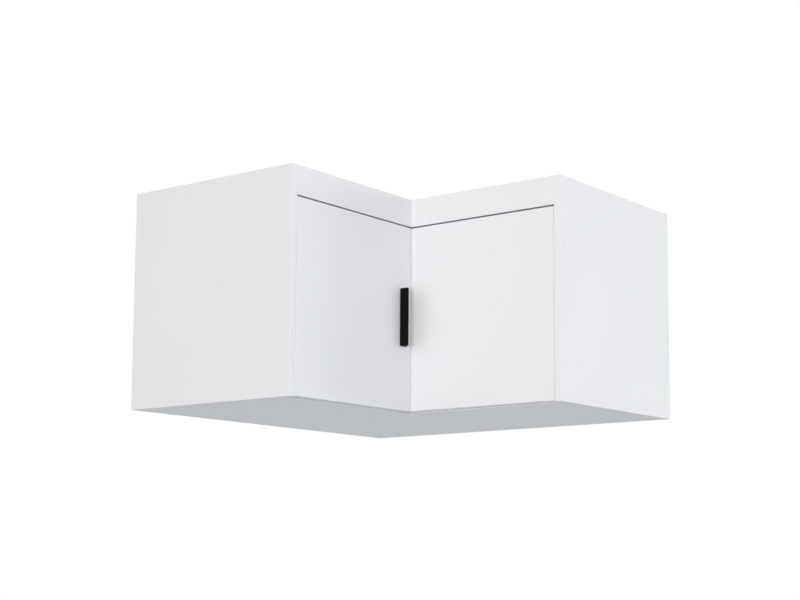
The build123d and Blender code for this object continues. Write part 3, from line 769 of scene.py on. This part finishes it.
def cams():
    """The cams, each with its mouth towards the end panel that its bolt comes from."""
    left_front = front_face("left", "left_end_panel")
    parts = []
    for points in solids("cam_housings"):
        middle, _, radius, half = round_solid(points, UP)
        turn = 0 if middle.x > left_front else -math.pi / 2
        body = cam_body(DECAGON * radius, half - CAM_PLAY, half - BOLT_DEPTH)
        parts.append((body, Matrix.Translation(middle) @ Matrix.Rotation(turn, 4, "Z")))
    piece("cam_housings", parts)


# ---- hinge cups ----
CUP_STEPS = 128
CUP_ANGLES = [2 * math.pi * step / CUP_STEPS for step in range(CUP_STEPS)]
CUP_SHEET = 0.0006
CUP_FLANGE = 0.001  # thickness
CUP_FLANGE_REACH = 0.00175  # beyond the shell
CUP_MIDDLE = 0.25  # radius of the floor's flat middle, for 1 of the cup's inside
FLANGE_EDGE = 0.0003
FOOT = 0.0022  # radius of the bend between wall and floor, inside
FOOT_SIDE = 0.0007  # the bend's middle, from the wall
FOOT_UP = 0.0006  # and from the floor
FOOT_OUTSIDE = 0.001
LIP = 0.0006  # radius of the rim at the mouth
LIP_SIDE = 0.0002  # the rim's middle
EAR_SET = 0.006  # middle of the ears, away from the door's edge
EAR_HALF = 0.0065
EAR_CORNER = 0.00325
LUG_HALF = 0.0024
LUG_THICK = 0.002
LUG_GAP = 0.0053  # from the cup's middle, up and down, to each lug
LUG_ROUND = 0.0004
TINY = 0.000001


def flange_reach(angle, rim, half):
    """How far a cup's flange reaches in a direction: a round rim with an ear above and below."""
    low = EAR_SET - EAR_HALF
    high = EAR_SET + EAR_HALF
    east = math.cos(angle)
    north = math.sin(angle)
    limits = [(east, high), (-east, -low), (north, half), (-north, half)]
    for sign_east, edge in ((1, high), (-1, -low)):
        for sign_north in (1, -1):
            limits.append((sign_east * east + sign_north * north, edge + half - EAR_CORNER))
    return max(rim, min(limit / part for part, limit in limits if part > TINY))


def ring(mesh, reach, n):
    """A closed row of points around a cup, from one radius or from a list of one for each angle."""
    radii = reach if isinstance(reach, list) else [reach] * CUP_STEPS
    return [mesh.verts.new((radius * math.cos(angle), n, radius * math.sin(angle)))
            for radius, angle in zip(radii, CUP_ANGLES)]


def cup_shell(rim, half, mouth, base):
    """The pressed cup: dished floor at the base, rolled rim at the mouth, and flange with ears."""
    shell = rim - CUP_FLANGE_REACH
    inner = shell - CUP_SHEET
    inside = base - CUP_SHEET
    edge = [flange_reach(angle, rim, half) for angle in CUP_ANGLES]
    face = [reach - FLANGE_EDGE for reach in edge]
    steps = [
        (CUP_MIDDLE * inner, inside),
        (inner - FOOT, inside),
        (inner - FOOT_SIDE, inside - FOOT_UP),
        (inner, inside - FOOT),
        (inner, mouth + LIP),
        (inner + LIP_SIDE, mouth + LIP_SIDE),
        (inner + LIP, mouth),
        (face, mouth),
        (edge, mouth + FLANGE_EDGE),
        (edge, mouth + CUP_FLANGE),
        (shell, mouth + CUP_FLANGE),
        (shell, base - FOOT_OUTSIDE),
        (shell - FOOT_OUTSIDE, base),
        (CUP_MIDDLE * inner, base),
    ]
    mesh = bmesh.new()
    rows = [ring(mesh, reach, n) for reach, n in steps]
    bridge(mesh, rows)
    mesh.faces.new(rows[0])
    mesh.faces.new(rows[-1])
    return mesh


def hinge_cup(side, level):
    """A hinge cup in a door's back, with the two lugs that hold the pivot."""
    node = f"{side}_{level}_hinge_cup"
    to_wing = WING[side].inverted()
    low, high = extent([to_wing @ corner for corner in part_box(node)])
    middle = (low + high) / 2
    base = high.y
    place = WING[side] @ Matrix.Translation((middle.x, 0, middle.z))
    shell = cup_shell((high.x - low.x) / 2, (high.z - low.z) / 2, low.y, base)
    parts = [(shell, place)]
    pivot = to_wing @ HINGE_LINE[side + "_door"]
    pivot_s = pivot.x - middle.x
    for start in (LUG_GAP, -LUG_GAP - LUG_THICK):
        lug = bar((pivot_s - LUG_HALF, pivot.y - LUG_HALF, start),
                  (pivot_s + LUG_HALF, base - CUP_SHEET / 2, start + LUG_THICK))
        bmesh.ops.bevel(lug, geom=lug.edges[:], offset=LUG_ROUND, segments=2, affect="EDGES", profile=0.5)
        parts.append((lug, place))
    piece(node, parts)


# ---- the small pieces, in place of the CAD ones ----
for name in ("bracket_screws", "hanger_screws", "hinge_plate_screws", "hinge_arm_screws",
             "left_handle_screws", "left_cup_screws", "right_cup_screws"):
    screw_pieces(name)
shelf_pins()
cams()
discs("cam_caps", CAP_RIM, UP)
for side in SIDES:
    discs(side + "_door_bumpers", BUMPER_RIM, BUMPER_AXIS[side])
for side in SIDES:
    for level in LEVELS:
        hinge_cup(side, level)


# ---- room, light and camera ----
FLOOR_REACH = 40.0
FLOOR_HEIGHT = -1.45
FLOOR_DARK = (0.535, 0.56, 0.575, 1)
FLOOR_LIGHT = (0.545, 0.57, 0.585, 1)
FLOOR_SHOWN = 0.7  # its own light where it is seen, on top of what falls on it
PURE_WHITE = (1, 1, 1, 1)
SKY = 0.475
LAMP_AIM = Vector((0, 0, 0.22))  # the cabinet's middle
WARM = (1.0, 0.98, 0.96)
COOL = (0.96, 1.0, 1.0)
NEUTRAL = (1.0, 1.0, 1.0)
IMAGE_WIDTH = 800  # pixels
SENSOR = 36.0  # millimetres
CAMERA_FOCAL = 1598.0  # pixels
CAMERA_SHIFT = (-0.1, 0.1)
CAMERA_AT = (2.054, -2.612, -0.344)
CAMERA_YAW = -35.59
CAMERA_PITCH = 7.16
CAMERA_NEAR = 0.05
CAMERA_FAR = 200


def shown(tree):
    """1 for the rays that show the background, seen directly, in gloss or through clear parts."""
    rays = tree.nodes.new("ShaderNodeLightPath")
    result = rays.outputs["Is Camera Ray"]
    for kind in ("Is Glossy Ray", "Is Transmission Ray"):
        most = tree.nodes.new("ShaderNodeMath")
        most.operation = "MAXIMUM"
        tree.links.new(result, most.inputs[0])
        tree.links.new(rays.outputs[kind], most.inputs[1])
        result = most.outputs[0]
    return result


def one_sided(paint):
    """Make a surface clear where its back is looked at."""
    face = paint.add("ShaderNodeNewGeometry")
    clear = paint.add("ShaderNodeBsdfTransparent")
    either = paint.add("ShaderNodeMixShader")
    paint.join(face.outputs["Backfacing"], either.inputs[0])
    paint.join(paint.shader.outputs["BSDF"], either.inputs[1])
    paint.join(clear.outputs["BSDF"], either.inputs[2])
    paint.join(either.outputs["Shader"], paint.output.inputs["Surface"])


def floor():
    """A plain pale floor, at the usual distance below a wall cabinet. Seen from below, it is clear."""
    corners = [(FLOOR_REACH * x, FLOOR_REACH * y, FLOOR_HEIGHT)
               for x, y in ((-1, -1), (1, -1), (1, 1), (-1, 1))]
    mesh = bpy.data.meshes.new("floor")
    mesh.from_pydata(corners, [], [(0, 1, 2, 3)])
    item = bpy.data.objects.new("floor", mesh)
    bpy.context.scene.collection.objects.link(item)
    paint = Paint("floor_paint")
    paint.colour(paint.mix(paint.noise(scale=2, detail=3), FLOOR_DARK, FLOOR_LIGHT))
    paint.set(Roughness=0.9, Specular_IOR_Level=0.1, Emission_Color=PURE_WHITE)
    glow = paint.compute("MULTIPLY", shown(paint.tree), FLOOR_SHOWN)
    paint.join(glow, paint.shader.inputs["Emission Strength"])
    one_sided(paint)
    item.data.materials.append(paint.material)


def world():
    """A soft sky: plain white where it is seen, and even light on the object."""
    studio = bpy.data.worlds.new("studio")
    bpy.context.scene.world = studio
    studio.use_nodes = True
    tree = studio.node_tree
    tree.nodes.clear()
    output = tree.nodes.new("ShaderNodeOutputWorld")
    seen = tree.nodes.new("ShaderNodeBackground")
    light = tree.nodes.new("ShaderNodeBackground")
    seen.inputs["Color"].default_value = PURE_WHITE
    light.inputs["Color"].default_value = PURE_WHITE
    light.inputs["Strength"].default_value = SKY
    blend = tree.nodes.new("ShaderNodeMixShader")
    tree.links.new(shown(tree), blend.inputs[0])
    tree.links.new(light.outputs[0], blend.inputs[1])
    tree.links.new(seen.outputs[0], blend.inputs[2])
    tree.links.new(blend.outputs[0], output.inputs["Surface"])


def softbox(name, at, size, watts, tint=NEUTRAL):
    """A large lamp that looks at the cabinet's middle; size is its width and height."""
    data = bpy.data.lights.new(name, "AREA")
    data.shape = "RECTANGLE"
    data.size, data.size_y = size
    data.energy = watts
    data.color = tint
    lamp = bpy.data.objects.new(name, data)
    lamp.location = at
    sight = LAMP_AIM - Vector(at)
    lamp.rotation_euler = sight.to_track_quat("-Z", "Y").to_euler()
    lamp.visible_glossy = False
    bpy.context.scene.collection.objects.link(lamp)


def camera():
    """The photograph's viewing angle, from below the cabinet, fitted to its corners."""
    data = bpy.data.cameras.new("camera")
    data.sensor_width = SENSOR
    data.lens = CAMERA_FOCAL * SENSOR / IMAGE_WIDTH
    data.shift_x, data.shift_y = CAMERA_SHIFT
    data.clip_start = CAMERA_NEAR
    data.clip_end = CAMERA_FAR
    item = bpy.data.objects.new("camera", data)
    item.location = CAMERA_AT
    tilt = math.pi / 2 + math.radians(CAMERA_PITCH)
    item.rotation_euler = Euler((tilt, 0, -math.radians(CAMERA_YAW)), "XYZ")
    bpy.context.scene.collection.objects.link(item)
    bpy.context.scene.camera = item


floor()
world()
softbox("softbox_front", at=(5.2, -9.1, -0.3), size=(6.0, 2.2), watts=655, tint=WARM)
softbox("softbox_side", at=(9.9, 3.6, 0.2), size=(6.0, 2.5), watts=105, tint=COOL)
softbox("softbox_rear", at=(7.4, 7.4, 0.4), size=(6.0, 2.5), watts=285)
softbox("softbox_back", at=(-7.4, 7.4, 1.0), size=(6.0, 2.5), watts=130)
softbox("softbox_top", at=(0.0, 0.0, 3.0), size=(1.5, 1.5), watts=26)
camera()
bpy.context.scene.view_settings.view_transform = "Standard"
